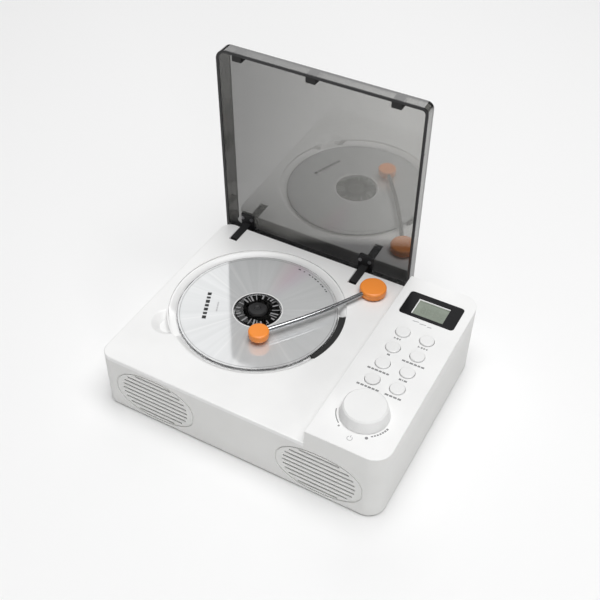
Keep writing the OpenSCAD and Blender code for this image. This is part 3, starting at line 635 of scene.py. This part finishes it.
# Round the knob: a plain arc, a dotted arc that grows thicker, and a small and a large dot at their ends
printed.append(band(*KNOB_AT, 18.6, 0.7, 194, 232, corner))
for start in range(-52, -14, 6):
    printed.append(band(*KNOB_AT, 18.7, 1.0 + 0.012 * (start + 52), start, start + 4.2, corner, 4))
for angle, dot in ((238, 0.7), (-61, 1.1)):
    x = KNOB_AT[0] + 19.6 * math.cos(math.radians(angle))
    y = KNOB_AT[1] + 19.6 * math.sin(math.radians(angle))
    printed.append([(corner[0] + (x + dot * math.cos(t / 3)) * MM, corner[1] + (y + dot * math.sin(t / 3)) * MM)
                    for t in range(19)])
prisms("panel_marks", printed, panel_z - 0.02 * MM, panel_z + PRINT, "case", mat_print)

# Standby sign below the knob, and three dashes below the display
x, y = KNOB_AT[0] + 0.2, KNOB_AT[1] - 22.4
pale = [band(x, y, 1.7, 0.45, 125, 415, corner), block(x, y + 1.7, 0.5, 1.7, 0, corner)]
for dx, w in ((-6.2, 4.6), (-0.6, 4.8), (4.6, 3.2)):
    pale.append(block(192.6 + dx, 125.6 - 0.1 * dx, w, 0.7, 0.12, corner))
prisms("panel_pale_marks", pale, panel_z - 0.02 * MM, panel_z + 0.025 * MM, "case", mat_faint)


# ---------------------------------------------------------------- display

wx0, wx1, wy0, wy1 = 179.5, 204.0, 133.0, 150.0  # the display window, in millimetres
frame_bars = [block((wx0 + wx1) / 2, wy1 - 0.55, wx1 - wx0 - 0.2, 0.9, 0, corner),
              block(wx0 + 0.55, (wy0 + wy1) / 2 - 0.4, 0.8, wy1 - wy0 - 1.3, 0, corner)]
prisms("lcd_frame", frame_bars, glass_z, glass_z + 0.75 * MM, "case", mat_button)

# Seven unlit segments for each of four digits, as (dx, dy, width, height)
SEGMENTS = ((0, 2.9, 1.9, 0.4), (0, 0, 1.9, 0.4), (0, -2.9, 1.9, 0.4), (-1.2, 1.45, 0.4, 2.2),
            (1.2, 1.45, 0.4, 2.2), (-1.2, -1.45, 0.4, 2.2), (1.2, -1.45, 0.4, 2.2))
segments = []
for digit in range(4):
    x, y = 186.2 + 4.2 * digit + (1.4 if digit > 1 else 0), 140.4
    segments += [block(x + dx, y + dy, w, d, 0, corner) for dx, dy, w, d in SEGMENTS]
mat_segment = moulded("segment_ghost", rgb(0.165, 0.195, 0.15), 0.3)
prisms("lcd_segments", segments, glass_z, glass_z + 0.02 * MM, "case", mat_segment)


# ---------------------------------------------------------------- camera, floor and light

AZIMUTH, ELEVATION, ROLL = (math.radians(v) for v in (27.70, 43.33, 1.18))
CAMERA_AT = Vector((0.22065, -0.41723, 0.52194))
back = Vector((math.sin(AZIMUTH) * math.cos(ELEVATION), -math.cos(AZIMUTH) * math.cos(ELEVATION),
               math.sin(ELEVATION)))
camera = bpy.data.objects.new("camera", bpy.data.cameras.new("camera"))
bpy.context.scene.collection.objects.link(camera)
camera.data.lens = 55.2
camera.data.sensor_width = 36
camera.location = CAMERA_AT
camera.rotation_mode = "QUATERNION"
roll = Matrix.Rotation(ROLL, 3, "Z").to_quaternion()
camera.rotation_quaternion = (-back).to_track_quat("-Z", "Y") @ roll
bpy.context.scene.camera = camera

floor_mesh = bpy.data.meshes.new("floor")
FLOOR = 6.0
floor_mesh.from_pydata([(-FLOOR, -FLOOR, 0), (FLOOR, -FLOOR, 0), (FLOOR, FLOOR, 0), (-FLOOR, FLOOR, 0)], [],
                       [(0, 1, 2, 3)])
floor = bpy.data.objects.new("floor", floor_mesh)
bpy.context.scene.collection.objects.link(floor)
floor_shader = Shader("pale_floor")
floor_shader.base(Base_Color=rgb(0.93, 0.93, 0.93), Roughness=0.9)
dress(floor, floor_shader.mat)


def area_light(name, at, aim, size, power):
    light = bpy.data.lights.new(name, "AREA")
    light.shape = "RECTANGLE"
    light.size, light.size_y = size
    light.energy = power
    obj = bpy.data.objects.new(name, light)
    bpy.context.scene.collection.objects.link(obj)
    obj.location = at
    obj.rotation_mode = "QUATERNION"
    obj.rotation_quaternion = (Vector(aim) - Vector(at)).to_track_quat("-Z", "Y")


area_light("top_soft", (0.3, -0.14, 2.4), (0, 0, 0), (1.8, 1.8), 53)
area_light("corner_soft", (0.8, -1.0, 0.35), (0.08, -0.06, 0.03), (0.35, 0.35), 3.0)
area_light("back_card", (-0.55, 1.0, 1.1), (-0.03, 0.0, 0.05), (1.3, 1.0), 4.4)

world = bpy.data.worlds.new("studio")
world.use_nodes = True
world.node_tree.nodes["Background"].inputs["Color"].default_value = rgb(1, 1, 1)
world.node_tree.nodes["Background"].inputs["Strength"].default_value = 0.10
bpy.context.scene.world = world
bpy.context.scene.view_settings.view_transform = "Standard"
